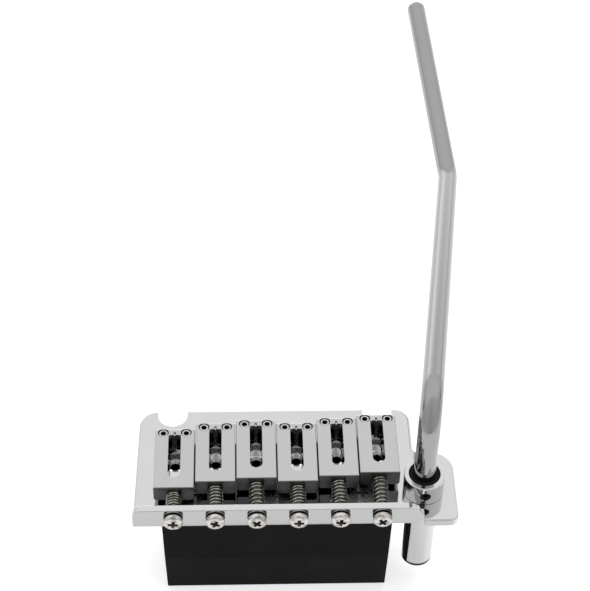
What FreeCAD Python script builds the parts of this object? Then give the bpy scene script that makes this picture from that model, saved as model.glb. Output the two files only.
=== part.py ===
import FreeCAD, Part
import math
import os
import re
import Sketcher

# Two-point tremolo bridge for an electric guitar, in millimetres.
# X runs from the bass side to the treble side, Y from the tail towards the neck, and Z up.
# The origin is midway between the centres of the two pivot notches, level with the plate's top face.

SIZES = {
    # Base plate: a flat plate with a bent-up lip at its near edge and an ear for the arm socket.
    "plate_thick": 2.5,
    "plate_depth": 37.05,
    "plate_front": 1.6,
    "plate_bass_margin": 10.75,
    "plate_bass_taper": 0.8,
    "plate_treble_margin": 9.85,
    "ear_width": 10.5,
    "ear_length": 23.3,
    "bass_corner_radius": 5.1,
    "treble_corner_radius": 4.3,
    "ear_root_radius": 1.5,
    "ear_near_radius": 2.4,
    "plate_edge_radius": 0.7,
    "notch_margin": 1.0,
    "notch_radius": 4.0,
    "lip_height": 5.25,
    "lip_thick": 2.4,
    "lip_bass_radius": 2.4,
    "lip_treble_radius": 3.4,
    "lip_treble_overhang": 0.45,
    "bend_outer_radius": 2.2,
    "bend_inner_radius": 0.8,
    "relief_width": 1.0,
    "relief_depth": 3.8,
    "lip_edge_radius": 0.35,
    # String spacing, shared by the saddles, the lip holes and the string holes.
    "string_pitch": 10.8,
    "string_row_inset": 17.9,
    "string_row_slant": 0.45,
    "string_hole_radius": 1.2,
    "string_mouth_radius": 2.05,
    "string_mouth_depth": 0.42,
    # Sustain block under the plate.
    "block_inset": 5.5,
    "block_depth": 19.5,
    "block_margin": 3.65,
    "block_draft": 0.7,
    "block_height": 34.2,
    "block_crease_drop": 20.0,
    "block_rear_relief": 0.9,
    "block_edge_radius": 0.6,
    "block_string_radius": 1.2,
    "ball_hole_radius": 2.0,
    "ball_hole_depth": 20.0,
    "spring_hole_radius": 1.4,
    "spring_hole_depth": 12.0,
    "spring_row_inset": 2.9,
    # Countersunk screws that hold the block.
    "block_screw_margin": 8.15,
    "block_screw_inset": 9.4,
    "block_screw_radius": 2.0,
    "block_screw_length": 12.0,
    "block_screw_head_radius": 3.4,
    "block_screw_head_depth": 1.5,
    "block_screw_clearance": 0.08,
    # Saddles: slotted blocks that carry one string each.
    "saddle_side_gap": 0.25,
    "saddle_length": 20.4,
    "saddle_height": 5.05,
    "saddle_floor": 0.25,
    "saddle_corner_radius": 0.9,
    "saddle_edge_radius": 0.3,
    "saddle_crest_radius": 1.1,
    "slot_width": 3.3,
    "slot_foot_width": 2.76,
    "slot_start": 3.5,
    "slot_length": 14.4,
    "slot_ramp_length": 1.8,
    "slot_foot_bulge": 1.05,
    "slot_top_bulge": 0.12,
    "string_groove_radius": 0.3,
    "string_groove_length": 0.9,
    # Room between the lip and each saddle, which sets the string lengths.
    "saddle_gap_1": 4.3,
    "saddle_gap_2": 6.2,
    "saddle_gap_3": 7.2,
    "saddle_gap_4": 6.0,
    "saddle_gap_5": 7.6,
    "saddle_gap_6": 8.6,
    # Height screws: two socket set screws in each saddle.
    "height_screw_radius": 1.4,
    "height_screw_inset": 1.75,
    "height_screw_sink": 0.3,
    "height_screw_chamfer": 0.3,
    "height_screw_foot_gap": 0.3,
    "height_screw_tip_radius": 0.7,
    "height_screw_tip_length": 0.8,
    "height_screw_key_radius": 0.82,
    "height_screw_key_depth": 1.6,
    # Cross recess in the heads of the intonation and block screws.
    "cross_width": 0.75,
    "cross_length": 2.9,
    "cross_depth": 1.1,
    # Intonation screws: pan heads outside the lip, shanks threaded into the saddles.
    "intonation_screw_radius": 1.45,
    "lip_land": 0.35,
    "intonation_screw_reach": 0.8,
    "intonation_screw_chamfer": 0.3,
    "pan_head_radius": 2.52,
    "pan_head_height": 3.2,
    "pan_head_dome": 0.9,
    "pan_head_gap": 0.2,
    "lip_hole_clearance": 0.25,
    "thread_clearance": 0.05,
    # Intonation springs.
    "spring_wire_radius": 0.225,
    "spring_play": 0.205,
    "spring_end_gap": 0.1,
    # Arm socket: a collar on the ear with a tube through it.
    "socket_offset": 1.75,
    "socket_inset": 10.5,
    "collar_wall": 1.2,
    "collar_height": 6.4,
    "collar_edge_radius": 0.35,
    "tube_wall": 1.2,
    "tube_drop": 29.0,
    "tube_chamfer": 0.5,
    "socket_clearance": 0.05,
    # Plastic bush inside the collar.
    "bush_wall": 1.2,
    "bush_sink": 0.15,
    "bush_floor": 0.6,
    # Set screw that tightens the bush on the arm.
    "tension_screw_radius": 1.4,
    "tension_screw_length": 1.7,
    "tension_screw_sink": 0.45,
    "tension_screw_height": 3.2,
    "tension_screw_key_radius": 0.82,
    "tension_screw_key_depth": 0.8,
    # Tremolo arm: one bent rod.
    "arm_radius": 2.9,
    "arm_depth": 20.0,
    "arm_stem_straight": 12.9,
    "arm_run": 111.2,
    "arm_end": 74.7,
    "arm_bend_radius": 10.0,
    "arm_elbow_radius": 14.0,
    "arm_tip_radius": 2.0,
    "arm_foot_chamfer": 0.8,
    # Angles of the arm in degrees: rise and swing of its long run, then of its end.
    "arm_run_rise_angle": -8.8,
    "arm_run_swing_angle": 8.0,
    "arm_end_rise_angle": 7.5,
    "arm_end_swing_angle": -3.7,
    # One overrun serves every cut.
    "overrun": 1.0,
}

# Coils of each intonation spring, bass to treble: a longer gap shows more coils.
SPRING_TURNS = (4, 5, 5, 5, 6, 6)
# How each intonation screw stands turned in its thread, in degrees, bass to treble.
SCREW_TURNS = (5, 25, 40, 0, 8, 50)
STRINGS = range(1, 7)
MID_STRING = (len(STRINGS) + 1) / 2
# Rows of spring holes in the block, counted in string pitches from the middle.
HOOK_STEPS = range(-2, 3)
HEX_SIDES = 6
# Each turn of a coil is drawn in quarters, and measured on points along it.
QUARTERS = 4
SAMPLES_PER_TURN = 48
FULL_TURN = 360.0
QUARTER_TURN = 90.0
# How close a place in millimetres, and the cosine between two directions, count as the same.
SAME_PLACE = 0.01
SAME_WAY_SHARE = 0.999
# The ear's far corner is rounded over this share of its width.
EAR_FAR_SHARE = 0.57
# The two height screws of a saddle stand apart by this share of its width.
SCREW_SPREAD_SHARE = 0.578

doc = FreeCAD.newDocument("tremolo_bridge")
dims = doc.addObject("Spreadsheet::Sheet", "dims")
for row, (alias, value) in enumerate(SIZES.items(), start=1):
    dims.set(f"A{row}", alias)
    dims.set(f"B{row}", str(value))
    dims.setAlias(f"B{row}", alias)
doc.recompute()

# Places that several pieces share, as expressions of the sheet.
HALF_SPAN = f"({(len(STRINGS) - 1) / 2} * string_pitch)"
BASS_X = f"-({HALF_SPAN} + plate_bass_margin)"
TREBLE_X = f"({HALF_SPAN} + plate_treble_margin)"
EAR_X = f"({TREBLE_X} + ear_width)"
LIP_END_X = f"({TREBLE_X} + lip_treble_overhang)"
SOCKET_X = f"({TREBLE_X} + socket_offset)"
NOTCH_X = (f"-({HALF_SPAN} + notch_margin)", f"({HALF_SPAN} + notch_margin)")
BLOCK_HALF = f"({HALF_SPAN} + block_margin)"
NEAR_Y = "-plate_depth"
LIP_Y = "-(plate_depth - lip_thick)"
BLOCK_Y = "-(plate_depth - block_inset)"
BLOCK_SCREW_Y = "-(plate_depth - block_screw_inset)"
SOCKET_Y = "-(plate_depth - socket_inset)"
BLOCK_SCREW_X = (f"-({BLOCK_HALF} - block_screw_margin)", "0", f"({BLOCK_HALF} - block_screw_margin)")
SCREW_Z = "(lip_height - lip_land - intonation_screw_radius - lip_hole_clearance)"
SADDLE_WIDTH = "(string_pitch - saddle_side_gap)"
SADDLE_LIFT = f"({SCREW_Z} - intonation_screw_radius - thread_clearance - saddle_floor)"
SADDLE_TOP = f"({SADDLE_LIFT} + saddle_height)"
SCREW_SPREAD = f"({SCREW_SPREAD_SHARE} * {SADDLE_WIDTH})"
BORE_RADIUS = "(arm_radius + socket_clearance)"
TUBE_RADIUS = f"({BORE_RADIUS} + tube_wall)"
BUSH_RADIUS = f"({BORE_RADIUS} + bush_wall)"
COLLAR_RADIUS = f"({BUSH_RADIUS} + socket_clearance + collar_wall)"

sub_parts = []


def worded(text):
    """An expression on the sheet, from one written with bare aliases."""
    return re.sub(r"[a-z]\w*", lambda word: f"dims.{word[0]}" if word[0] in SIZES else word[0], text)


def size(text):
    """The number that an expression gives now."""
    return float(dims.evalExpression(worded(text)))


def bind(item, prop, text):
    item.setExpression(prop, worded(text))


def string_x(number):
    return f"{number - MID_STRING} * string_pitch"


def string_y(number):
    """The row of string holes slants: each next hole towards the treble side stands further from the lip."""
    return f"{LIP_Y} + string_row_inset + {number - MID_STRING} * string_row_slant"


def saddle_y(number):
    return f"{LIP_Y} + saddle_gap_{number}"


def new_body(label, place=("0", "0", "0"), tip=0, spin=0):
    """A body at a place bound to the sheet, spun about its own Z axis and tipped about X, both in degrees."""
    body = doc.addObject("PartDesign::Body", label)
    body.Label = label
    spun = FreeCAD.Rotation(FreeCAD.Vector(0, 0, 1), spin)
    tipped = FreeCAD.Rotation(FreeCAD.Vector(1, 0, 0), tip)
    body.Placement = FreeCAD.Placement(FreeCAD.Vector(), tipped.multiply(spun))
    for axis_name, text in zip("xyz", place):
        bind(body, f"Placement.Base.{axis_name}", text)
    sub_parts.append(body)
    return body


def attach(item, body, role, place):
    """Fix a sketch or primitive to one of its body's origin planes, at a place bound to the sheet."""
    plane = next(feature for feature in body.Origin.OriginFeatures if feature.Role == role)
    item.AttachmentSupport = [(plane, "")]
    item.MapMode = "FlatFace"
    for axis_name, text in zip("xyz", place):
        bind(item, f"AttachmentOffset.Base.{axis_name}", text)


def primitive(body, kind, role, place, **sizes):
    item = body.newObject(f"PartDesign::{kind}", kind)
    attach(item, body, role, place)
    for prop, text in sizes.items():
        bind(item, prop, text)
    return item


def hex_socket(body, place, radius, depth):
    """A hexagon socket cut down from a place on a body's own axis."""
    key = primitive(body, "SubtractivePrism", "XY_Plane", place, Circumradius=radius, Height=depth)
    key.Polygon = HEX_SIDES
    return key


def hold_corners(sketch, points):
    """Join the sides of a closed sketch end to end, and hold each corner by expressions."""
    count = len(points)
    for k in range(count):
        sketch.addConstraint(Sketcher.Constraint("Coincident", k, 2, (k + 1) % count, 1))
    for k, (x, y) in enumerate(points):
        for kind, text in (("DistanceX", x), ("DistanceY", y)):
            held = sketch.addConstraint(Sketcher.Constraint(kind, -1, 1, k, 1, size(text)))
            bind(sketch, f"Constraints[{held}]", text)


def outline(body, role, points, place=("0", "0", "0")):
    """A closed sketch of straight sides whose corners are all held by expressions."""
    sketch = body.newObject("Sketcher::SketchObject", "outline")
    attach(sketch, body, role, place)
    corners = [FreeCAD.Vector(size(x), size(y), 0) for x, y in points]
    for start, end in zip(corners, corners[1:] + corners[:1]):
        sketch.addGeometry(Part.LineSegment(start, end), False)
    hold_corners(sketch, points)
    return sketch


def bowed_outline(body, half, near, far, bulge, place):
    """A closed sketch like a slot: straight sides and near end, and a far end that bows out."""
    sketch = body.newObject("Sketcher::SketchObject", "outline")
    attach(sketch, body, "XY_Plane", place)
    points = ((f"-{half}", near), (half, near), (half, far), (f"-{half}", far))
    corners = [FreeCAD.Vector(size(x), size(y), 0) for x, y in points]
    crown = FreeCAD.Vector(0, size(f"{far} + {bulge}"), 0)
    sketch.addGeometry(Part.LineSegment(corners[0], corners[1]), False)
    sketch.addGeometry(Part.LineSegment(corners[1], corners[2]), False)
    bow = sketch.addGeometry(Part.Arc(corners[2], crown, corners[3]), False)
    sketch.addGeometry(Part.LineSegment(corners[3], corners[0]), False)
    hold_corners(sketch, points)
    radius = f"({half} * {half} + {bulge} * {bulge}) / (2 * {bulge})"
    held = sketch.addConstraint(Sketcher.Constraint("Radius", bow, size(radius)))
    bind(sketch, f"Constraints[{held}]", radius)
    return sketch


def pad(body, sketch, length, both_ways=False, backwards=False):
    item = body.newObject("PartDesign::Pad", "Pad")
    item.Profile = sketch
    item.SideType = "Symmetric" if both_ways else "One side"
    item.Reversed = backwards
    bind(item, "Length", length)
    return item


def pocket_both_ways(body, sketch, length):
    item = body.newObject("PartDesign::Pocket", "Pocket")
    item.Profile = sketch
    item.SideType = "Symmetric"
    bind(item, "Length", length)
    return item


def holes(body, role, centres, place, radius, depth, upwards=False):
    """A row of round holes: one sketch of circles at a place, cut against the plane's normal or along it."""
    sketch = body.newObject("Sketcher::SketchObject", "circles")
    attach(sketch, body, role, place)
    for k, (x, y) in enumerate(centres):
        middle = FreeCAD.Vector(size(x), size(y), 0)
        sketch.addGeometry(Part.Circle(middle, FreeCAD.Vector(0, 0, 1), size(radius)), False)
        for kind, text in (("DistanceX", x), ("DistanceY", y)):
            held = sketch.addConstraint(Sketcher.Constraint(kind, -1, 1, k, 3, size(text)))
            bind(sketch, f"Constraints[{held}]", text)
        held = sketch.addConstraint(Sketcher.Constraint("Radius", k, size(radius)))
        bind(sketch, f"Constraints[{held}]", radius)
    item = body.newObject("PartDesign::Pocket", "Pocket")
    item.Profile = sketch
    item.Reversed = upwards
    bind(item, "Length", depth)
    return item


def turned(body, points):
    """A solid of revolution about the body's Z axis, from a half profile of radius and height."""
    sketch = outline(body, "XZ_Plane", points)
    item = body.newObject("PartDesign::Revolution", "Revolution")
    item.Profile = sketch
    item.ReferenceAxis = (sketch, ["V_Axis"])
    item.Angle = FULL_TURN
    return item


def cross_recess(body, place, depth):
    """A cross recess on the body's own axis, cut up from a place."""
    for length, width in (("cross_length", "cross_width"), ("cross_width", "cross_length")):
        primitive(
            body, "SubtractiveBox", "XY_Plane", (f"-{length} / 2", f"-{width} / 2", place),
            Length=length, Width=width, Height=depth,
        )


def round_edges(body, radius, chosen):
    """Fillet the edges of a body's last shape that the test picks."""
    doc.recompute()
    base = body.Tip
    names = [f"Edge{k}" for k, edge in enumerate(base.Shape.Edges, start=1) if chosen(edge)]
    item = body.newObject("PartDesign::Fillet", "Fillet")
    item.Base = (base, names)
    bind(item, "Radius", radius)
    return item


def near(first, second):
    return abs(first - second) < SAME_PLACE


def along(edge, axis):
    """Whether an edge is straight and runs along an axis of its body."""
    if edge.Curve.TypeId != "Part::GeomLine":
        return False
    return abs(edge.Curve.Direction.dot(FreeCAD.Vector(*axis))) > SAME_WAY_SHARE


def upright_at(x, y):
    """A test for the upright edge at a corner of the plate."""
    return lambda edge: along(edge, (0, 0, 1)) and near(edge.BoundBox.XMin, size(x)) and near(
        edge.BoundBox.YMin, size(y)
    )


def level_edge_at(y, z):
    """A test for the edges that run across the plate at a depth and a height."""
    return lambda edge: along(edge, (1, 0, 0)) and near(edge.BoundBox.YMin, size(y)) and near(
        edge.BoundBox.ZMin, size(z)
    )


def base_plate():
    body = new_body("base_plate")
    corners = (
        (BASS_X, "plate_front"),
        (TREBLE_X, "plate_front"),
        (TREBLE_X, f"{NEAR_Y} + ear_length"),
        (EAR_X, f"{NEAR_Y} + ear_length"),
        (EAR_X, NEAR_Y),
        (BASS_X, NEAR_Y),
    )
    pad(body, outline(body, "XY_Plane", corners), "plate_thick", backwards=True)
    lip = (
        (BASS_X, "-plate_thick"),
        (LIP_END_X, "-plate_thick"),
        (LIP_END_X, "lip_height"),
        (BASS_X, "lip_height"),
    )
    pad(body, outline(body, "XZ_Plane", lip, ("0", "0", "plate_depth")), "lip_thick", backwards=True)
    bass_far = f"{BASS_X} + plate_bass_taper"
    taper = (
        (BASS_X, NEAR_Y),
        (bass_far, "plate_front"),
        (bass_far, "plate_front + overrun"),
        (f"{BASS_X} - overrun", "plate_front + overrun"),
        (f"{BASS_X} - overrun", NEAR_Y),
    )
    pocket_both_ways(body, outline(body, "XY_Plane", taper), "2 * (plate_thick + lip_height + overrun)")
    primitive(
        body, "SubtractiveBox", "XY_Plane",
        (LIP_END_X, f"{NEAR_Y} - overrun", "-plate_thick - overrun"),
        Length="relief_width", Width="relief_depth + overrun", Height="plate_thick + 2 * overrun",
    )
    ear_far = f"{EAR_FAR_SHARE} * ear_width"
    radii = ("bass_corner_radius", "treble_corner_radius", "ear_root_radius", ear_far, "ear_near_radius")
    for radius, (x, y) in zip(radii, ((bass_far, "plate_front"), *corners[1:])):
        round_edges(body, radius, upright_at(x, y))
    for side, radius in ((BASS_X, "lip_bass_radius"), (LIP_END_X, "lip_treble_radius")):
        round_edges(
            body, radius,
            lambda edge: along(edge, (0, 1, 0))
            and near(edge.BoundBox.XMin, size(side))
            and near(edge.BoundBox.ZMin, size("lip_height")),
        )
    round_edges(
        body, "bend_outer_radius",
        lambda edge: along(edge, (1, 0, 0))
        and near(edge.BoundBox.YMin, size(NEAR_Y))
        and near(edge.BoundBox.ZMax, size("-plate_thick"))
        and edge.BoundBox.XMin < 0,
    )
    round_edges(body, "bend_inner_radius", level_edge_at(LIP_Y, "0"))
    round_edges(body, "plate_edge_radius", level_edge_at("plate_front", "0"))
    round_edges(body, "lip_edge_radius", level_edge_at(NEAR_Y, "lip_height"))
    through = "plate_thick + 2 * overrun"
    above = ("0", "0", "overrun")
    holes(body, "XY_Plane", [(x, "0") for x in NOTCH_X], above, "notch_radius", through)
    for x in NOTCH_X:
        primitive(
            body, "SubtractiveBox", "XY_Plane", (f"{x} - notch_radius", "0", "-plate_thick - overrun"),
            Length="2 * notch_radius", Width="plate_front + overrun", Height=through,
        )
    holes(
        body, "XZ_Plane", [(string_x(number), SCREW_Z) for number in STRINGS],
        ("0", "0", "plate_depth + overrun"),
        "intonation_screw_radius + lip_hole_clearance", "lip_thick + 2 * overrun",
    )
    strings = [(string_x(number), string_y(number)) for number in STRINGS]
    holes(body, "XY_Plane", strings, above, "string_hole_radius", through)
    for x, y in strings:
        primitive(
            body, "SubtractiveCone", "XY_Plane", (x, y, "-string_mouth_depth"),
            Radius1="string_hole_radius", Radius2="string_mouth_radius", Height="string_mouth_depth",
        )
    seats = [(x, BLOCK_SCREW_Y) for x in BLOCK_SCREW_X]
    holes(body, "XY_Plane", seats, above, "block_screw_radius + block_screw_clearance", through)
    for x, y in seats:
        primitive(
            body, "SubtractiveCone", "XY_Plane", (x, y, "-block_screw_head_depth"),
            Radius1="block_screw_radius + block_screw_clearance",
            Radius2="block_screw_head_radius + block_screw_clearance", Height="block_screw_head_depth",
        )
    holes(body, "XY_Plane", [(SOCKET_X, SOCKET_Y)], above, f"{TUBE_RADIUS} + socket_clearance", through)


def sustain_block():
    body = new_body("sustain_block")
    front = f"{BLOCK_Y} + block_depth"

    def level(half, rear, drop):
        corners = ((f"-{half}", rear), (half, rear), (half, front), (f"-{half}", front))
        return outline(body, "XY_Plane", corners, ("0", "0", f"-plate_thick - {drop}"))

    loft = body.newObject("PartDesign::AdditiveLoft", "Loft")
    loft.Profile = level(BLOCK_HALF, BLOCK_Y, "0")
    crease_half = f"({BLOCK_HALF} - block_draft * block_crease_drop / block_height)"
    loft.Sections = [
        level(crease_half, BLOCK_Y, "block_crease_drop"),
        level(f"({BLOCK_HALF} - block_draft)", f"{BLOCK_Y} + block_rear_relief", "block_height"),
    ]
    loft.Ruled = True
    underside = size("-plate_thick - block_height")
    round_edges(body, "block_edge_radius", lambda edge: near(edge.BoundBox.ZMax, underside))
    below = ("0", "0", "-plate_thick - block_height - overrun")
    strings = [(string_x(number), string_y(number)) for number in STRINGS]
    holes(body, "XY_Plane", strings, below, "block_string_radius", "block_height + 2 * overrun", upwards=True)
    holes(body, "XY_Plane", strings, below, "ball_hole_radius", "ball_hole_depth + overrun", upwards=True)
    hooks = [(f"{step} * string_pitch", f"{front} - spring_row_inset") for step in HOOK_STEPS]
    holes(body, "XY_Plane", hooks, below, "spring_hole_radius", "spring_hole_depth + overrun", upwards=True)
    seats = [(x, BLOCK_SCREW_Y) for x in BLOCK_SCREW_X]
    radius = "block_screw_radius + block_screw_clearance"
    holes(body, "XY_Plane", seats, ("0", "0", "0"), radius, "block_screw_length + overrun")


def block_screw(number, x):
    body = new_body(f"block_screw_{number}", (x, BLOCK_SCREW_Y, "0"))
    turned(body, (
        ("0", "-block_screw_length"),
        ("block_screw_radius", "-block_screw_length"),
        ("block_screw_radius", "-block_screw_head_depth"),
        ("block_screw_head_radius", "0"),
        ("0", "0"),
    ))
    cross_recess(body, "-cross_depth", "cross_depth + overrun")


def saddle(number):
    """A saddle in its own frame: its near face is at Y = 0 and the plate's top at Z = 0."""
    body = new_body(f"saddle_{number}", (string_x(number), saddle_y(number), "0"))
    side = (
        ("0", SADDLE_LIFT),
        ("saddle_length", SADDLE_LIFT),
        ("saddle_length", SADDLE_TOP),
        ("0", SADDLE_TOP),
    )
    pad(body, outline(body, "YZ_Plane", side), SADDLE_WIDTH, both_ways=True)
    round_edges(
        body, "saddle_corner_radius",
        lambda edge: along(edge, (0, 1, 0)) and near(edge.BoundBox.ZMax, size(SADDLE_LIFT)),
    )
    round_edges(
        body, "saddle_crest_radius",
        lambda edge: along(edge, (1, 0, 0))
        and near(edge.BoundBox.YMin, size("saddle_length"))
        and near(edge.BoundBox.ZMin, size(SADDLE_TOP)),
    )
    round_edges(
        body, "saddle_edge_radius",
        lambda edge: near(edge.BoundBox.ZMin, size(SADDLE_TOP))
        and edge.BoundBox.YMin < size("saddle_length / 2"),
    )
    near_end = "slot_start + slot_width / 2"
    string_slot(body, near_end)
    holes(
        body, "XZ_Plane", [("0", SCREW_Z)], ("0", "0", "overrun"),
        "intonation_screw_radius + thread_clearance", "overrun + slot_start + slot_width",
    )
    groove_end = "slot_start + slot_length + string_groove_length"
    holes(
        body, "XZ_Plane", [("0", SADDLE_TOP)], ("0", "0", f"-({groove_end})"),
        "string_groove_radius", f"{groove_end} - ({near_end})", upwards=True,
    )
    screws = [(f"{hand} * {SCREW_SPREAD} / 2", "saddle_length - height_screw_inset") for hand in (-1, 1)]
    holes(
        body, "XY_Plane", screws, ("0", "0", f"{SADDLE_TOP} + overrun"),
        "height_screw_radius + thread_clearance", "saddle_height + 2 * overrun",
    )


def string_slot(body, near_end):
    """A slot that narrows downwards: round at its near end, with a far wall that leans away from a round foot."""
    def level(share, height):
        half = f"((slot_foot_width + {share} * (slot_width - slot_foot_width)) / 2)"
        bulge = f"(slot_foot_bulge + {share} * (slot_top_bulge - slot_foot_bulge))"
        far = f"(slot_start + slot_length - (1 - {share}) * slot_ramp_length - {bulge})"
        return bowed_outline(body, half, near_end, far, bulge, ("0", "0", height))

    loft = body.newObject("PartDesign::SubtractiveLoft", "Loft")
    loft.Profile = level("(-overrun / saddle_height)", f"{SADDLE_LIFT} - overrun")
    loft.Sections = [level("1", SADDLE_TOP)]
    loft.Ruled = True
    primitive(
        body, "SubtractiveCone", "XY_Plane", ("0", near_end, SADDLE_LIFT),
        Radius1="slot_foot_width / 2", Radius2="slot_width / 2", Height="saddle_height",
    )


def height_screw(number, hand_name, hand):
    place = (
        f"{string_x(number)} + {hand} * {SCREW_SPREAD} / 2",
        f"{saddle_y(number)} + saddle_length - height_screw_inset",
        "0",
    )
    body = new_body(f"height_screw_{number}_{hand_name}", place)
    top = f"{SADDLE_TOP} - height_screw_sink"
    turned(body, (
        ("0", "height_screw_foot_gap"),
        ("height_screw_tip_radius", "height_screw_foot_gap"),
        ("height_screw_radius", "height_screw_foot_gap + height_screw_tip_length"),
        ("height_screw_radius", f"{top} - height_screw_chamfer"),
        ("height_screw_radius - height_screw_chamfer", top),
        ("0", top),
    ))
    hex_socket(
        body, ("0", "0", f"{top} - height_screw_key_depth"),
        "height_screw_key_radius", "height_screw_key_depth + overrun",
    )


def intonation_screw(number):
    """A pan-head screw in its own frame: its axis is Z, the head's seat at Z = 0 and its tip upwards."""
    seat = (string_x(number), f"{NEAR_Y} - pan_head_gap", SCREW_Z)
    body = new_body(f"intonation_screw_{number}", seat, tip=-QUARTER_TURN, spin=SCREW_TURNS[number - 1])
    tip = f"lip_thick + pan_head_gap + saddle_gap_{number} + slot_start + intonation_screw_reach"
    turned(body, (
        ("0", "-pan_head_height"),
        ("pan_head_radius", "-pan_head_height"),
        ("pan_head_radius", "0"),
        ("intonation_screw_radius", "0"),
        ("intonation_screw_radius", f"{tip} - intonation_screw_chamfer"),
        ("intonation_screw_radius - intonation_screw_chamfer", tip),
        ("0", tip),
    ))
    round_edges(body, "pan_head_dome", lambda edge: near(edge.BoundBox.ZMax, size("-pan_head_height")))
    cross_recess(body, "-pan_head_height - overrun", "cross_depth + overrun")


def arm_socket():
    body = new_body("arm_socket", (SOCKET_X, SOCKET_Y, "0"))
    turned(body, (
        (f"{BUSH_RADIUS} + socket_clearance", "bush_floor"),
        (f"{BUSH_RADIUS} + socket_clearance", "collar_height"),
        (COLLAR_RADIUS, "collar_height"),
        (COLLAR_RADIUS, "0"),
        (TUBE_RADIUS, "0"),
        (TUBE_RADIUS, "-tube_drop + tube_chamfer"),
        (f"{TUBE_RADIUS} - tube_chamfer", "-tube_drop"),
        (BORE_RADIUS, "-tube_drop"),
        (BORE_RADIUS, "bush_floor"),
    ))
    round_edges(
        body, "collar_edge_radius",
        lambda edge: near(edge.BoundBox.ZMin, size("collar_height"))
        and edge.BoundBox.XLength > size(f"2 * {BUSH_RADIUS} + overrun"),
    )
    side_hole(body)


def side_hole(body):
    """The tension screw's hole, from a body's bore out through its side that faces the tail."""
    holes(
        body, "XZ_Plane", [("0", "tension_screw_height")], ("0", "0", "0"),
        "tension_screw_radius + thread_clearance", f"{COLLAR_RADIUS} + overrun", upwards=True,
    )


def arm_bush():
    body = new_body("arm_bush", (SOCKET_X, SOCKET_Y, "0"))
    top = "collar_height - bush_sink"
    turned(body, (
        (BORE_RADIUS, "bush_floor"),
        (BUSH_RADIUS, "bush_floor"),
        (BUSH_RADIUS, top),
        (BORE_RADIUS, top),
    ))
    side_hole(body)


def arm_tension_screw():
    """A set screw in its own frame: its axis is Z and its socket faces upwards."""
    place = (SOCKET_X, f"{SOCKET_Y} - {COLLAR_RADIUS} + tension_screw_sink", "tension_screw_height")
    body = new_body("arm_tension_screw", place, tip=QUARTER_TURN)
    turned(body, (
        ("0", "-tension_screw_length"),
        ("tension_screw_radius", "-tension_screw_length"),
        ("tension_screw_radius", "0"),
        ("0", "0"),
    ))
    hex_socket(
        body, ("0", "0", "-tension_screw_key_depth"),
        "tension_screw_key_radius", "tension_screw_key_depth + overrun",
    )


def heading(rise, swing):
    """The unit vector of a run that rises and swings by angles in degrees from straight ahead."""
    up = math.radians(size(rise))
    side = math.radians(size(swing))
    return FreeCAD.Vector(math.sin(side) * math.cos(up), math.cos(side) * math.cos(up), math.sin(up))


def bent_wire(corners, radii):
    """Straight runs through the corners, joined by tangent arcs of the given radii."""
    edges = []
    start = corners[0]
    for before, corner, after, radius in zip(corners, corners[1:], corners[2:], radii):
        inward = (corner - before).normalize()
        outward = (after - corner).normalize()
        half = inward.getAngle(outward) / 2
        reach = radius * math.tan(half)
        arc_start = corner - inward * reach
        arc_end = corner + outward * reach
        middle_way = (outward - inward).normalize()
        arc_middle = corner + middle_way * (radius / math.cos(half) - radius)
        edges.append(Part.LineSegment(start, arc_start).toShape())
        edges.append(Part.Arc(arc_start, arc_middle, arc_end).toShape())
        start = arc_end
    edges.append(Part.LineSegment(start, corners[-1]).toShape())
    return Part.Wire(edges)


def shape_part(label, shape, place):
    item = doc.addObject("Part::Feature", label)
    item.Label = label
    item.Shape = shape
    item.Placement = FreeCAD.Placement(place, FreeCAD.Rotation())
    sub_parts.append(item)
    return item


def tremolo_arm():
    """The arm in the socket's frame: down the bush, up a short stem, along a run and out to its end."""
    radius = size("arm_radius")
    foot = FreeCAD.Vector(0, 0, -size("arm_depth"))
    run_way = heading("arm_run_rise_angle", "arm_run_swing_angle")
    bend_reach = size("arm_bend_radius") * math.tan(run_way.getAngle(FreeCAD.Vector(0, 0, 1)) / 2)
    stem = FreeCAD.Vector(0, 0, size("collar_height + arm_stem_straight") + bend_reach)
    elbow = stem + run_way * size("arm_run")
    tip = elbow + heading("arm_end_rise_angle", "arm_end_swing_angle") * size("arm_end")
    wire = bent_wire([foot, stem, elbow, tip], [size("arm_bend_radius"), size("arm_elbow_radius")])
    ring = Part.Wire(Part.Circle(foot, FreeCAD.Vector(0, 0, 1), radius).toShape())
    rod = wire.makePipeShell([ring], True, False)
    foot_edge = min(rod.Edges, key=lambda edge: edge.BoundBox.ZMax)
    rod = rod.makeChamfer(size("arm_foot_chamfer"), [foot_edge])
    tip_edge = min(
        (edge for edge in rod.Edges if edge.isClosed()),
        key=lambda edge: (edge.CenterOfMass - tip).Length,
    )
    rod = rod.makeFillet(size("arm_tip_radius"), [tip_edge])
    straight_volume = math.pi * radius**2 * wire.Length
    print(f"tremolo_arm volume {rod.Volume:.1f}, rod section times length {straight_volume:.1f}")
    shape_part("tremolo_arm", rod, FreeCAD.Vector(size(SOCKET_X), size(SOCKET_Y), 0))


def biarc(start, start_way, end, end_way):
    """Two arcs that leave one point along a direction and meet another point along a second one."""
    chord = end - start
    both = start_way + end_way
    bend = 2 * (1 - start_way.dot(end_way))
    across = chord.dot(both)
    reach = (-across + math.sqrt(across**2 + bend * chord.dot(chord))) / bend
    first = start + start_way * reach
    last = end - end_way * reach
    joint = (first + last) / 2
    return [tangent_arc(start, first, joint), tangent_arc(joint, last, end)]


def tangent_arc(start, corner, end):
    """The arc from start to end whose tangents there meet at the corner."""
    half = (corner - start).getAngle(end - corner) / 2
    rise = (corner - start).Length * math.cos(half) * math.tan(half / 2)
    middle = (start + end) / 2
    return Part.Arc(start, middle + (corner - middle).normalize() * rise, end).toShape()


def helix_point(radius, pitch, turns):
    angle = 2 * math.pi * turns
    return FreeCAD.Vector(radius * math.cos(angle), pitch * turns, radius * math.sin(angle))


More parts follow.
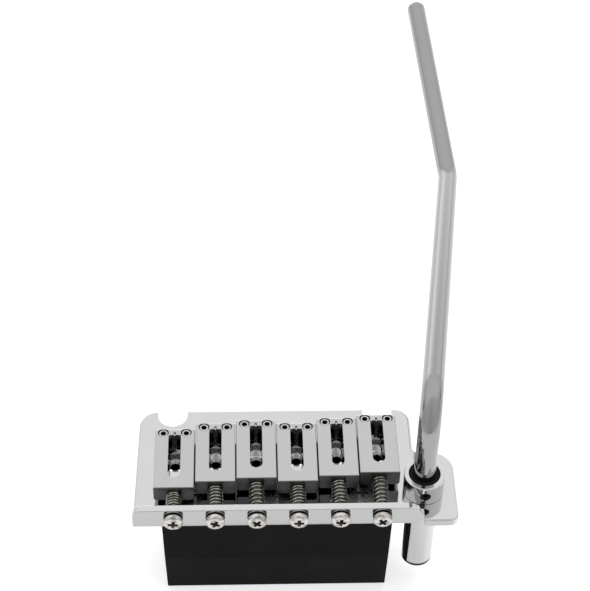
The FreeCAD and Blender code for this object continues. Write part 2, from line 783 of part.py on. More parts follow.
def helix_way(radius, pitch, turns):
    angle = 2 * math.pi * turns
    rise = pitch / (2 * math.pi)
    return FreeCAD.Vector(-radius * math.sin(angle), rise, radius * math.cos(angle)).normalize()


def least_gap(radius, pitch, turns, wire_radius):
    """The least gap of a coil to its own next turns, measured on points along its middle line."""
    points = [helix_point(radius, pitch, k / SAMPLES_PER_TURN) for k in range(turns * SAMPLES_PER_TURN + 1)]
    apart = SAMPLES_PER_TURN // 2
    least = min((a - b).Length for k, a in enumerate(points) for b in points[k + apart:])
    return least - 2 * wire_radius


def intonation_spring(number):
    """A compression spring round its screw, in its own frame: its axis is Y, from the lip's face at Y = 0."""
    turns = SPRING_TURNS[number - 1]
    wire_radius = size("spring_wire_radius")
    radius = size("intonation_screw_radius + spring_play + spring_wire_radius")
    end_gap = size("spring_end_gap")
    pitch = (size(f"saddle_gap_{number}") - 2 * end_gap - 2 * wire_radius) / turns
    edges = []
    for quarter in range(turns * QUARTERS):
        start = quarter / QUARTERS
        end = (quarter + 1) / QUARTERS
        edges += biarc(
            helix_point(radius, pitch, start), helix_way(radius, pitch, start),
            helix_point(radius, pitch, end), helix_way(radius, pitch, end),
        )
    path = Part.Wire(edges)
    ring = Part.Circle(helix_point(radius, pitch, 0), helix_way(radius, pitch, 0), wire_radius)
    section = Part.Wire(ring.toShape())
    coil = path.makePipeShell([section], True, False)
    gap = least_gap(radius, pitch, turns, wire_radius)
    print(f"intonation_spring_{number} least gap to itself {gap:.2f}")
    place = FreeCAD.Vector(
        size(string_x(number)), size(LIP_Y) + end_gap + wire_radius, size(SCREW_Z)
    )
    shape_part(f"intonation_spring_{number}", coil, place)


def check_document():
    """Stop before anything is written if a feature failed or a sub-part's shape is bad."""
    for item in doc.Objects:
        bad = [state for state in item.State if state in ("Invalid", "Error")]
        if bad:
            raise RuntimeError(f"{item.Label} ({item.Name}) is {bad}")
    for item in sub_parts:
        if item.Shape.isNull() or not item.Shape.isValid():
            raise RuntimeError(f"{item.Label} has no valid shape")


def write_parts():
    os.makedirs("parts", exist_ok=True)
    for item in sub_parts:
        item.Shape.exportStep(f"parts/{item.Label}.step")
        print(f"{item.Label}: {len(item.Shape.Solids)} solid, {item.Shape.Volume:.2f} cubic mm")


base_plate()
sustain_block()
for screw_number, screw_x in enumerate(BLOCK_SCREW_X, start=1):
    block_screw(screw_number, screw_x)
for string in STRINGS:
    saddle(string)
    height_screw(string, "bass", -1)
    height_screw(string, "treble", 1)
    intonation_screw(string)
    intonation_spring(string)
arm_socket()
arm_bush()
arm_tension_screw()
tremolo_arm()
doc.recompute()
check_document()
write_parts()
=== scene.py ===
# %% [markdown]
# # A chromed tremolo bridge, dressed in Blender
# The solids of this guitar bridge come from a CAD model: a notched plate, a black block under it, six
# slotted saddles with their screws, a collar and a bent arm. They arrive as one object per piece, in
# metres, each with its place in its mesh. This lesson keeps the solids whose shape is already right and
# gives them real finishes. It makes two kinds of piece anew, because wound and threaded forms show the
# light best in a mesh: the springs and the intonation screws.

# %% Load the solids
import math

import bmesh
import bpy
from mathutils import Matrix, Vector


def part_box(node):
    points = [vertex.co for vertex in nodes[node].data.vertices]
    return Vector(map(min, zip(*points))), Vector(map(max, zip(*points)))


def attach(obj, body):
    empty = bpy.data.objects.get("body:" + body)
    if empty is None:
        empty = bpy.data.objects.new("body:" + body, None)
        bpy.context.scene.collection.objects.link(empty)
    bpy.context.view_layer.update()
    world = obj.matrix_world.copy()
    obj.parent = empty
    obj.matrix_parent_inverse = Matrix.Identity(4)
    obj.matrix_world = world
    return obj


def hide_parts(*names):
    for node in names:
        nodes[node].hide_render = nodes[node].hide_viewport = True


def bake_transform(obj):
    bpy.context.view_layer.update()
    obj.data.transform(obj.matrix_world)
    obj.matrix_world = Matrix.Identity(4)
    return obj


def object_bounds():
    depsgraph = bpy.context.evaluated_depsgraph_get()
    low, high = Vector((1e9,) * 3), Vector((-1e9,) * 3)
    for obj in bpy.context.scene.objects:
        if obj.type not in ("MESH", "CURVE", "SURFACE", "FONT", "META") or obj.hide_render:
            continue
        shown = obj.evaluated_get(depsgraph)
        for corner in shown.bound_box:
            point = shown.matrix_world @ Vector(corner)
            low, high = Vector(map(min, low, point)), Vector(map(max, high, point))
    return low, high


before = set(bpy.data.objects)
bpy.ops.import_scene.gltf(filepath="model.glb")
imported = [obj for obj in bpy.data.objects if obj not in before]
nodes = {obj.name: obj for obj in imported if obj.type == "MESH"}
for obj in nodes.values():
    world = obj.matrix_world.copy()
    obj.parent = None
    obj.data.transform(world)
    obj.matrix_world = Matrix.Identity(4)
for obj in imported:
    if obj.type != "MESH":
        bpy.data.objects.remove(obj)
cad_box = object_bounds()
STRINGS = range(1, 7)
MM = 0.001
print("loaded", len(nodes), "solids")

# %% [markdown]
# ## The camera
# The photograph looks down on the bridge from its tail end, about 45 degrees above the plate, with a long
# lens. Blender could aim a camera with a constraint, but a matrix built from three directions leaves no
# doubt about the small roll. The camera looks along its own -Z, so the third column is the view direction
# turned round.

# %% Place the camera
PHOTO_WIDTH_PX = 590
FOCAL_PX = 1732.586
SENSOR_MM = 36.0
CAMERA_PLACE = Vector((-8.505, -311.827, 360.494)) * MM
LOOK_DOWN = math.radians(45.2)
LOOK_ASIDE = math.radians(2.441)
ROLL = math.radians(1.2)

ahead = Vector((
    math.sin(LOOK_ASIDE) * math.cos(LOOK_DOWN),
    math.cos(LOOK_ASIDE) * math.cos(LOOK_DOWN),
    -math.sin(LOOK_DOWN),
))
level_right = Vector((math.cos(LOOK_ASIDE), -math.sin(LOOK_ASIDE), 0))
level_up = level_right.cross(ahead)
right = level_right * math.cos(ROLL) + level_up * math.sin(ROLL)
up = level_up * math.cos(ROLL) - level_right * math.sin(ROLL)

lens = bpy.data.cameras.new("photo_camera")
lens.sensor_fit = "HORIZONTAL"
lens.sensor_width = SENSOR_MM
lens.lens = SENSOR_MM * FOCAL_PX / PHOTO_WIDTH_PX
lens.clip_start = 0.01
camera = bpy.data.objects.new("photo_camera", lens)
bpy.context.scene.collection.objects.link(camera)
camera.matrix_world = Matrix.Translation(CAMERA_PLACE) @ Matrix((right, up, -ahead)).transposed().to_4x4()
bpy.context.scene.camera = camera
print(f"lens {lens.lens:.1f} mm, {CAMERA_PLACE.length:.3f} m from the pivot line")

# %% [markdown]
# ## A way to write shaders
# A finish is a small sum of noises and masks. Linking every Math node by hand hides that sum, so one
# class wraps an output socket: an operator between two of them adds the Math node, and `node` makes any
# other node from its type, its settings and what goes into its sockets.

# %% Wrap a socket so that it can be used in sums
class Signal:
    def __init__(self, tree, socket=None):
        self.tree = tree
        self.socket = socket

    def node(self, kind, settings=None, inputs=None, output=None):
        made = self.tree.nodes.new(kind)
        for name, value in (settings or {}).items():
            setattr(made, name, value)
        for name, value in (inputs or {}).items():
            socket = next(s for s in made.inputs if s.name == name and s.enabled)
            if isinstance(value, Signal):
                self.tree.links.new(value.socket, socket)
            else:
                socket.default_value = value
        open_outputs = [s for s in made.outputs if s.enabled and output in (None, s.name)]
        return Signal(self.tree, open_outputs[0] if open_outputs else None)

    def math(self, operation, first, second=0.0):
        made = self.tree.nodes.new("ShaderNodeMath")
        made.operation = operation
        for socket, value in zip(made.inputs, (first, second)):
            if isinstance(value, Signal):
                self.tree.links.new(value.socket, socket)
            else:
                socket.default_value = value
        return Signal(self.tree, made.outputs[0])

    def __add__(self, other):
        return self.math("ADD", self, other)

    __radd__ = __add__

    def __sub__(self, other):
        return self.math("SUBTRACT", self, other)

    def __rsub__(self, other):
        return self.math("SUBTRACT", other, self)

    def __mul__(self, other):
        return self.math("MULTIPLY", self, other)

    __rmul__ = __mul__

    def part(self, axis):
        """One of the three numbers of a vector."""
        return self.node("ShaderNodeSeparateXYZ", {}, {"Vector": self}, axis)

    def between(self, low, high):
        """Nought at low, one at high, and an even slope from one to the other."""
        return self.node("ShaderNodeMapRange", {}, {"Value": self, "From Min": low, "From Max": high})

    def blend(self, first, second):
        """A colour that goes from the first to the second as this value goes from nought to one."""
        return self.node("ShaderNodeMix", {"data_type": "RGBA"}, {"Factor": self, "A": first, "B": second})


def grey(value, warmth=0.0):
    """A neutral colour, made warmer by a share of its value."""
    return (value * (1 + warmth), value, value * (1 - warmth), 1.0)


print("shader sums ready")

# %% [markdown]
# ## The ground that all finishes share
# Every piece sits at the origin, so its Object coordinates are places on the bridge in metres, and a
# noise scale is the number of specks in one metre. Three patterns recur: a slow waviness left by
# polishing, fine hairlines from wiping, and a haze that dulls some patches. Hairlines could be drawn on
# an image, but a noise that is stretched far in one direction gives lines of any length and stays sharp
# close up.

# %% Start a finish and its shared patterns
def new_finish(name):
    material = bpy.data.materials.new(name)
    material.use_nodes = True
    tree = material.node_tree
    tree.nodes.clear()
    start = Signal(tree)
    place = start.node("ShaderNodeTexCoord", output="Object")
    return material, start, place


def close_finish(start, inputs):
    shader = start.node("ShaderNodeBsdfPrincipled", {}, inputs)
    start.node("ShaderNodeOutputMaterial", {}, {"Surface": shader})


def specks(place, scale, detail=2.0, roughness=0.5):
    settings = {"Vector": place, "Scale": scale, "Detail": detail, "Roughness": roughness}
    return place.node("ShaderNodeTexNoise", {}, settings, "Fac")


def hairlines(place, turn, across=2600.0, along=45.0):
    """Thin lines that run along one direction of the surface, nought where there is none."""
    turned = place.node("ShaderNodeMapping", {}, {"Vector": place, "Rotation": turn})
    drawn = turned.node("ShaderNodeMapping", {}, {"Vector": turned, "Scale": (across, along, along)})
    return specks(drawn, 1.0, 1.0).between(0.66, 0.8)


def bump(height, strength, distance):
    return height.node("ShaderNodeBump", {}, {"Strength": strength, "Distance": distance, "Height": height})


print("patterns ready")

# %% [markdown]
# ## Chrome
# Chromium plating reflects a little over half of the light evenly at all colours, which is why it looks
# like dark glass where the room is dark. The plate, arm and collar are polished steel under the plating,
# so their mirror has a very slow waviness, and the buffing wheel dulls their rounded edges. The saddles
# are castings and polished less, so the ends that look to the lip are rougher. Those ends, the saddles'
# sides, and the faces of the plate and the socket that look to the tail are painted darker, which is
# painted shade. Thin lines of painted shade lie on the plate below the gaps between the saddles, and the
# foot of the socket's tube and the seam below its collar are painted dark, as painted shade too. One
# function makes all of these from a reflectance, a haze and masks that read the surface's place and
# direction.

# %% Chrome for the plate, the arm, the collar and the saddles
POLISH_WAVE = 0.01 * MM
EDGE_ROUGHNESS = 0.5
CAST_ROUGHNESS = 0.25
# The share of painted shade on the castings' upright sides, and the dark grey that all painted shade on
# chrome goes towards.
CAST_SIDE_SHADE = 0.8
PAINTED_SHADE_GREY = 0.03
# Half the width of a line of painted shade, and the width of its soft border, as shares of the pitch.
GAP_SHADE_HALF_WIDTH = 0.025
GAP_SHADE_BORDER = 0.015
# The seam below the collar and the foot of the tube take painted shade: the seam's width and darkness, and
# the foot's height.
SEAM_WIDTH = 0.12 * MM
SEAM_SHADE = 0.75
FOOT_WIDTH = 1.3 * MM

saddle_pitch = (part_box("saddle_6")[0].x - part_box("saddle_1")[0].x) / 5
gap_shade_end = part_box("saddle_1")[1].y
tube_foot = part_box("arm_socket")[0].z + FOOT_WIDTH


def surface_part(start, axis):
    """How far the surface looks along one axis, from -1 to 1."""
    return start.node("ShaderNodeTexCoord", output="Normal").part(axis)


def tailward(start):
    """How far the surface looks to the tail end, which is along -Y."""
    return 0.0 - surface_part(start, "Y")


def facing_tail(start):
    """One on the faces that look straight to the tail end, and nought on all others."""
    return tailward(start).between(0.85, 0.97)


def facing_sideways(start):
    """One on the upright faces that look to the bass or the treble side."""
    return start.math("ABSOLUTE", surface_part(start, "X")).between(0.9, 0.98)


def rounded_edge(start):
    """One on the rounded edges between a top face and one that looks to the tail end."""
    lean = tailward(start)
    leaning = lean.between(0.3, 0.45) * (1 - lean.between(0.85, 0.95))
    return leaning * surface_part(start, "Z").between(0.3, 0.45)


def below_gaps(start, place):
    """Painted shade: one on the plate's top in thin lines below the gaps between the saddles, which are a
    pitch apart.
    """
    across = place.part("X")
    off_gap = start.math("ABSOLUTE", start.math("FRACT", across * (1 / saddle_pitch) + 0.5) - 0.5)
    lines = 1 - off_gap.between(GAP_SHADE_HALF_WIDTH, GAP_SHADE_HALF_WIDTH + GAP_SHADE_BORDER)
    inner = 1 - start.math("ABSOLUTE", across).between(2.4 * saddle_pitch, 2.5 * saddle_pitch)
    under = 1 - place.part("Y").between(gap_shade_end - MM, gap_shade_end)
    low_down = 1 - place.part("Z").between(0.05 * MM, 0.1 * MM)
    return lines * inner * under * low_down * surface_part(start, "Z").between(0.9, 0.95)


def dark_places(start, place):
    """Painted shade: one on the foot of the socket's tube, and nearly so in the seam between its collar and
    the plate.
    """
    height = place.part("Z")
    foot = 1 - height.between(tube_foot, tube_foot + 0.2 * MM)
    seam = height.between(-0.05 * MM, 0.0) * (1 - height.between(SEAM_WIDTH, 0.2 * MM))
    return foot + seam * SEAM_SHADE


def chrome(name, reflectance, haze, tail_face_shade=0.0, cast_and_side_shade=False, shade_mask=None):
    """Plating over polished metal, or over a casting. The mask argument is a function that marks places for
    painted shade.
    """
    material, start, place = new_finish(name)
    # Painted shade: faces that look to the tail end are darkened towards a dark grey.
    painted_shade = facing_tail(start) * tail_face_shade
    if cast_and_side_shade:
        rough = facing_tail(start) * CAST_ROUGHNESS
        # Painted shade on the castings' upright sides.
        painted_shade = painted_shade + facing_sideways(start) * CAST_SIDE_SHADE
    else:
        rough = rounded_edge(start) * EDGE_ROUGHNESS
    # Painted shade in the places that the mask marks.
    if shade_mask:
        painted_shade = painted_shade + shade_mask(start, place)
    patch = specks(place, 55.0, 3.0)
    lines = hairlines(place, (0.0, 0.0, 0.5)) + hairlines(place, (0.3, 0.2, 2.2))
    wiped = lines * patch.between(0.45, 0.7)
    shade = (patch * 0.5 + specks(place, 420.0) * 0.5).between(0.3, 0.7)
    plated = shade.blend(grey(reflectance * 0.98, -0.006), grey(reflectance * 1.02, -0.004))
    waves = specks(place, 90.0, 1.0) + specks(place, 2400.0, 2.0) * 0.004 - wiped * 0.004
    close_finish(start, {
        "Base Color": (painted_shade * (0.9 + shade * 0.1)).blend(plated, grey(PAINTED_SHADE_GREY)),
        "Metallic": 1.0,
        "Roughness": patch.between(0.3, 0.8) * haze + haze * 0.6 + wiped * 0.05 + rough,
        "Normal": bump(waves, 1.0, POLISH_WAVE),
    })
    return material


plate_chrome = chrome("plate_chrome", 0.56, 0.05, tail_face_shade=0.245, shade_mask=below_gaps)
socket_chrome = chrome("socket_chrome", 0.56, 0.05, tail_face_shade=0.12, shade_mask=dark_places)
arm_chrome = chrome("arm_chrome", 0.31, 0.04)
saddle_chrome = chrome("saddle_chrome", 0.46, 0.06, tail_face_shade=0.62, cast_and_side_shade=True)
print("made", plate_chrome.name, socket_chrome.name, arm_chrome.name, saddle_chrome.name)

# %% [markdown]
# ## Screw and spring steel
# The screws are nickel plated, a little yellower and softer than chrome. The springs are drawn wire with
# a brown tinge of old oils. Set screws come black from the heat treatment; the one sunk in the
# collar is painted near black, as painted shade of its deep hole, and the height screws are lighter
# steel, painted darker down in their sockets as painted shade. They differ only in numbers, so one
# function with a colour for clean metal and one for its stain marks and painted shade makes them all. On
# the long screws the thread beyond the inside of the lip is painted darker, as painted shade. The
# recesses, grooves and seats of the long screws' heads have finishes of their own, which are mostly
# painted shade.

# %% Plain metals with grime
STEEL_GRAIN = 5200.0
WIRE_GRAIN = 6800.0
GRAIN_DEPTH = 0.01 * MM
SHADE_STRENGTH = 0.85
LIP_THICKNESS = 2.4 * MM


def worked_metal(name, clean, stain_and_shade_colour, gloss, grime_share, grain=STEEL_GRAIN, shade_span=None):
    """Metal with stain marks. The shade span is an axis and two places on it: the metal turns dark from one
    to the other, as painted shade.
    """
    material, start, place = new_finish(name)
    fine = specks(place, grain, 3.0, 0.6)
    stains_and_shade = specks(place, 700.0, 4.0, 0.6).between(0.75 - grime_share, 0.95 - grime_share)
    if shade_span:
        # Painted shade along an axis, mixed in with the stain marks.
        axis, lit_end, shaded_end = shade_span
        shaded = place.part(axis).between(lit_end, shaded_end) * SHADE_STRENGTH
        stains_and_shade = stains_and_shade.math("MAXIMUM", stains_and_shade, shaded)
    close_finish(start, {
        "Base Color": stains_and_shade.blend(clean, stain_and_shade_colour),
        "Metallic": 1.0,
        "Roughness": gloss + fine * 0.12 + stains_and_shade * 0.2,
        "Normal": bump(fine, 0.5, GRAIN_DEPTH),
    })
    return material


lip_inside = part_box("base_plate")[0].y + LIP_THICKNESS
screw_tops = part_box("height_screw_1_bass")[1].z
# Painted shade: the long screws turn dark beyond the inside of the lip.
nickel_shade = ("Y", lip_inside, lip_inside + MM)
# Painted shade: the height screws turn dark down in their sockets.
socket_shade = ("Z", screw_tops - 0.15 * MM, screw_tops - 0.45 * MM)
clean_wire, stained_wire = (0.34, 0.335, 0.3, 1.0), (0.15, 0.145, 0.12, 1.0)
nickel = worked_metal("nickel_plate", grey(0.56, 0.03), grey(0.2, 0.1), 0.27, 0.28, shade_span=nickel_shade)
# Painted shade for the heads' recesses, seats and grooves.
recess_shade = worked_metal("recess_shade_nickel", grey(0.26, 0.06), grey(0.1, 0.1), 0.35, 0.3)
groove_shade = worked_metal("groove_shade_nickel", grey(0.03, 0.06), grey(0.01, 0.1), 0.5, 0.3)
spring_wire = worked_metal("drawn_spring_wire", clean_wire, stained_wire, 0.2, 0.3, grain=WIRE_GRAIN)
set_screw_steel = worked_metal("blackened_steel", grey(0.24, 0.01), grey(0.1, 0.02), 0.2, 0.3)
height_screw_steel = worked_metal(
    "socket_shaded_steel", grey(0.5, 0.01), grey(0.04, 0.02), 0.15, 0.15, shade_span=socket_shade,
)
# Painted shade: the screw sunk in the collar is near black, standing for the shade of its deep hole.
sunk_screw_shade = worked_metal("sunk_screw_black_shade", grey(0.03, 0.01), grey(0.015, 0.02), 0.3, 0.3)
print("made", nickel.name, recess_shade.name, groove_shade.name, spring_wire.name)
print("made", set_screw_steel.name, height_screw_steel.name, sunk_screw_shade.name)

# %% [markdown]
# ## Black paint and black plastic
# The block is a casting under satin black paint. Its film has the faint pebble of a sprayed coat, a few
# lighter rub marks, and one small blister in the middle of the face that looks to the tail. A blister
# could be modelled, but at a millimetre across it is part of the film, so it is a bump around one point.
# Plastic in the collar is the same idea without the blister: a dull mould texture.

# %% Paint for the block, plastic for the bush
BLISTER_PLACE = (5.6 * MM, -31.5 * MM, -20.9 * MM)
BLISTER_RADIUS = 1.1 * MM
CRATER_RADIUS = 0.5 * MM
RAGGEDNESS = 1.2 * MM
PEBBLE_DEPTH = 0.06 * MM


def black_coat(name, colour, rubbed, gloss, pebble, blister=None):
    material, start, place = new_finish(name)
    grain = specks(place, pebble, 2.0)
    patch = specks(place, 90.0, 4.0, 0.6).between(0.45, 0.8)
    height = grain * 0.5 + specks(place, 260.0) * 0.5
    if blister:
        away = place.node("ShaderNodeVectorMath", {"operation": "DISTANCE"}, {"Vector": place}, "Value")
        away.socket.node.inputs[1].default_value = blister
        ragged = away + (specks(place, 1500.0) - 0.5) * RAGGEDNESS
        swelling = (1 - ragged.between(0.0, BLISTER_RADIUS)) * 2.5
        crater = (1 - ragged.between(0.0, CRATER_RADIUS)) * 4.0
        height = height + swelling - crater
    close_finish(start, {
        "Base Color": patch.blend(grey(colour), grey(rubbed)),
        "Roughness": gloss + grain * 0.1 - patch * 0.06,
        "Specular IOR Level": 0.05,
        "Normal": bump(height, 0.35, PEBBLE_DEPTH),
    })
    return material


block_paint = black_coat("satin_black_paint", 0.003, 0.005, 0.45, 2600.0, BLISTER_PLACE)
bush_plastic = black_coat("black_plastic", 0.008, 0.012, 0.5, 4200.0)
print("made", block_paint.name, bush_plastic.name)

# %% [markdown]
# ## Dress the solids
# A solid keeps its mesh. Only the material in its slots changes, so that the part still fits together to
# the hundredth of a millimetre.

# %% Put the finishes on the solids
FINISHES = {
    "base_plate": plate_chrome,
    "sustain_block": block_paint,
    "arm_socket": socket_chrome,
    "arm_bush": bush_plastic,
    "arm_tension_screw": sunk_screw_shade,
    "tremolo_arm": arm_chrome,
}
for number in (1, 2, 3):
    FINISHES[f"block_screw_{number}"] = set_screw_steel
for number in STRINGS:
    FINISHES[f"saddle_{number}"] = saddle_chrome
    FINISHES[f"height_screw_{number}_bass"] = height_screw_steel
    FINISHES[f"height_screw_{number}_treble"] = height_screw_steel
for name, material in FINISHES.items():
    for material_slot in nodes[name].material_slots:
        material_slot.material = material
print("dressed", len(FINISHES), "solids")

# %% [markdown]
# ## Helpers for new pieces
# The operators work in whatever unit the mesh has, but their tolerances suit millimetres better than
# metres here. So each new piece is modelled in millimetres along its own Z axis and moved into place at
# the end: Z becomes the bridge's Y, from the tail towards the neck.

# %% From a mesh in millimetres to a piece in its place
def lay_along(bm, place, spin):
    """Turn a mesh about its own Z axis, lay that axis along Y, and move it to a place in metres."""
    turned = Matrix.Rotation(math.radians(-90), 4, "X") @ Matrix.Rotation(math.radians(spin), 4, "Z")
    bmesh.ops.transform(bm, verts=bm.verts, matrix=Matrix.Translation(place) @ turned @ Matrix.Scale(MM, 4))


def finished_piece(bm, name, finishes, sharp_degrees):
    bmesh.ops.recalc_face_normals(bm, faces=bm.faces)
    mesh = bpy.data.meshes.new(name)
    bm.to_mesh(mesh)
    bm.free()
    mesh.shade_smooth()
    mesh.set_sharp_from_angle(angle=math.radians(sharp_degrees))
    for finish in finishes:
        mesh.materials.append(finish)
    piece = bpy.data.objects.new(name, mesh)
    bpy.context.scene.collection.objects.link(piece)
    return piece


print("helpers ready")

# %% [markdown]
# ## Springs
# Each intonation screw carries a compression spring between the lip and its saddle. The ends are wound
# almost closed so that they stand square on both faces, and the turns between are open. A curve with a
# bevel would draw a coil too, but `spin` makes it in the mesh at once: it carries a ring of vertices
# round an axis, and its `dvec` lifts the ring a little at each step. Three spins in a row give the closed
# end, the open turns and the other end.

# %% Wind the springs
SPRING_TURNS = (4, 5, 5, 5, 6, 6)
WIRE_RADIUS = 0.26
COIL_RADIUS = 1.83
CLOSED_TURNS = 0.6
CLOSED_PITCH = 0.6
STEPS_PER_TURN = 28
WIRE_SIDES = 12
WIRE_START_DEGREES = 90
COIL_SHARP_DEGREES = 50


def wind(bm, ring, turns, rise):
    steps = round(turns * STEPS_PER_TURN)
    made = bmesh.ops.spin(
        bm, geom=ring, cent=(0, 0, 0), axis=(0, 0, 1), dvec=(0, 0, rise / steps),
        angle=2 * math.pi * turns, steps=steps, use_merge=False, use_duplicate=False,
    )
    return made["geom_last"]


def coil_spring(number, length):
    bm = bmesh.new()
    bmesh.ops.create_circle(bm, segments=WIRE_SIDES, radius=WIRE_RADIUS)
    stand_up = Matrix.Translation((COIL_RADIUS, 0, WIRE_RADIUS)) @ Matrix.Rotation(math.radians(90), 4, "X")
    bmesh.ops.transform(bm, verts=bm.verts, matrix=stand_up)
    first_ring = list(bm.edges)
    ring = list(bm.verts) + first_ring
    closed_rise = CLOSED_TURNS * CLOSED_PITCH
    open_turns = SPRING_TURNS[number - 1] - CLOSED_TURNS
    ring = wind(bm, ring, CLOSED_TURNS, closed_rise)
    ring = wind(bm, ring, open_turns, length - 2 * WIRE_RADIUS - 2 * closed_rise)
    ring = wind(bm, ring, CLOSED_TURNS, closed_rise)
    last_ring = [item for item in ring if isinstance(item, bmesh.types.BMEdge)]
    bmesh.ops.edgeloop_fill(bm, edges=first_ring)
    bmesh.ops.edgeloop_fill(bm, edges=last_ring)
    return bm


for number in STRINGS:
    low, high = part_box(f"intonation_spring_{number}")
    middle = (low + high) / 2
    foot = Vector((middle.x, low.y, middle.z))
    length = (high.y - low.y) / MM
    coil = coil_spring(number, length)
    lay_along(coil, foot, WIRE_START_DEGREES)
    spring = finished_piece(coil, f"coil_spring_{number}", [spring_wire], COIL_SHARP_DEGREES)
    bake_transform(spring)
    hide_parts(f"intonation_spring_{number}")
    print(spring.name, len(spring.data.vertices), "vertices over", round(length, 2), "mm")

# %% [markdown]
# ## Intonation screws
# A pan-head screw is two turned forms: a domed head with a cross recess, and a thread of half a
# millimetre pitch. The head is half a profile spun right round, with a groove between its seat and its
# dome. The recess could be built face by face, but a Boolean with a tapered cross gives the sharp meeting
# of wings and dome that catches the light. The faces in the recess, the groove and below it take darker
# finishes, which are painted shade. For the thread, one ridge of its outline is spun with `dvec`
# for as many turns as the screw is long: after each turn the ridge's end lies on the start of the next,
# so merging doubles closes the helix. Two planes then trim it square.

# %% Turn a head and cut its cross recess
SOLID_HEAD_HEIGHT = 3.2
HEAD_RADIUS = 2.52
# Distances from the seat: both sides of the groove, the widest part of the dome and the top of its crown.
GROOVE_FOOT = 0.5
GROOVE_TOP = 1.0
BELLY = 1.9
CROWN = 2.75
GROOVE_FLOOR = 2.05
UNDERCUT = 0.22
SEAT_BEVEL = 0.12
# A dome of power 2 would be half a ball, and a higher power is squarer.
DOME_POWER = 2.6
DOME_STEPS = 9
UNDER_STEPS = 4
# How deep below the dome a recess face must lie to take painted shade, and the finish numbers: nickel, grey
# painted shade, black painted shade.
RECESS_SHADE_DEPTH = 0.06
CLEAN, GREY_SHADE, BLACK_SHADE = 0, 1, 2
HEAD_STEPS = 56
WING_LENGTH = 3.6
WING_WIDTH = 1.0
RECESS_DEPTH = 1.5
LENGTH_TAPER = 0.45
WIDTH_TAPER = 0.8
HEAD_WELD = 0.0005


def dome_height(radius):
    """How far the dome's skin stands from the seat at a radius."""
    inward = max(0.0, 1 - (radius / HEAD_RADIUS) ** DOME_POWER)
    return BELLY + (CROWN - BELLY) * inward ** (1 / DOME_POWER)


def head_outline():
    """Radius and distance from the seat along the head's half profile, from its crown to its seat."""
    points = []
    for step in range(DOME_STEPS + 1):
        radius = HEAD_RADIUS * math.sin(step / DOME_STEPS * math.pi / 2) ** (2 / DOME_POWER)
        points.append((radius, dome_height(radius)))
    for step in range(1, UNDER_STEPS + 1):
        share = step / UNDER_STEPS
        points.append((HEAD_RADIUS - UNDERCUT * share ** 2, BELLY + (GROOVE_TOP - BELLY) * share))
    points += [(GROOVE_FLOOR, GROOVE_TOP), (GROOVE_FLOOR, GROOVE_FOOT), (HEAD_RADIUS, GROOVE_FOOT)]
    return points + [(HEAD_RADIUS, SEAT_BEVEL), (HEAD_RADIUS - SEAT_BEVEL, 0.0), (0.0, 0.0)]


def spun_head():
    bm = bmesh.new()
    corners = [bm.verts.new((radius, 0, -height)) for radius, height in head_outline()]
    for first, second in zip(corners, corners[1:]):
        bm.edges.new((first, second))
    bmesh.ops.spin(
        bm, geom=list(bm.verts) + list(bm.edges), cent=(0, 0, 0), axis=(0, 0, 1), dvec=(0, 0, 0),
        angle=2 * math.pi, steps=HEAD_STEPS, use_merge=True, use_duplicate=False,
    )
    bmesh.ops.remove_doubles(bm, verts=bm.verts, dist=HEAD_WELD)
    bmesh.ops.recalc_face_normals(bm, faces=bm.faces)
    return bm


def recess_cutter(turn):
    """One pair of wings, tapered towards the bottom of the recess."""
    bm = bmesh.new()
    bmesh.ops.create_cube(bm, size=1.0)
    bmesh.ops.scale(bm, verts=bm.verts, vec=(WING_LENGTH, WING_WIDTH, 2 * RECESS_DEPTH))
    floor_corners = [vert for vert in bm.verts if vert.co.z > 0]
    bmesh.ops.scale(bm, verts=floor_corners, vec=(LENGTH_TAPER, WIDTH_TAPER, 1.0))
    bmesh.ops.rotate(bm, verts=bm.verts, matrix=Matrix.Rotation(turn, 3, "Z"))
    bmesh.ops.translate(bm, verts=bm.verts, vec=(0, 0, -CROWN))
    return bm


def helper_object(bm, name):
    mesh = bpy.data.meshes.new(name)
    bm.to_mesh(mesh)
    bm.free()
    made = bpy.data.objects.new(name, mesh)
    bpy.context.scene.collection.objects.link(made)
    return made


def finish_number(place):
    """Which of the screw's finishes a place on the head has: nickel, grey painted shade or black painted
    shade.
    """
    radius, height = place.xy.length, -place.z
    if height < GROOVE_FOOT:
        return GREY_SHADE
    if height <= GROOVE_TOP:
        return BLACK_SHADE
    in_recess = radius < WING_LENGTH / 2 and height < dome_height(radius) - RECESS_SHADE_DEPTH
    return GREY_SHADE if in_recess else CLEAN


def head_with_recess():
    head = helper_object(spun_head(), "head_blank")
    cutters = [helper_object(recess_cutter(turn), "recess_wing") for turn in (0, math.pi / 2)]
    for cutter in cutters:
        cut = head.modifiers.new("recess", "BOOLEAN")
        cut.operation = "DIFFERENCE"
        cut.solver = "EXACT"
        cut.object = cutter
    cut_head = head.evaluated_get(bpy.context.evaluated_depsgraph_get())
    mesh = bpy.data.meshes.new_from_object(cut_head)
    for helper in [head, *cutters]:
        bpy.data.objects.remove(helper)
    for face in mesh.polygons:
        face.material_index = finish_number(face.center)
    return mesh


head_mesh = head_with_recess()
print("head with recess:", len(head_mesh.polygons), "faces")

# %% [markdown]
# The thread starts two turns inside the head and ends beyond the tip, so that both trimming planes cut a
# full ridge. The last 0.4 mm is drawn in, as the rolled point of a real screw is.

# %% Roll the threads and join them to the heads
THREAD_PITCH = 0.5
CREST_RADIUS = 1.44
ROOT_RADIUS = 1.14
THREAD_STEPS = 24
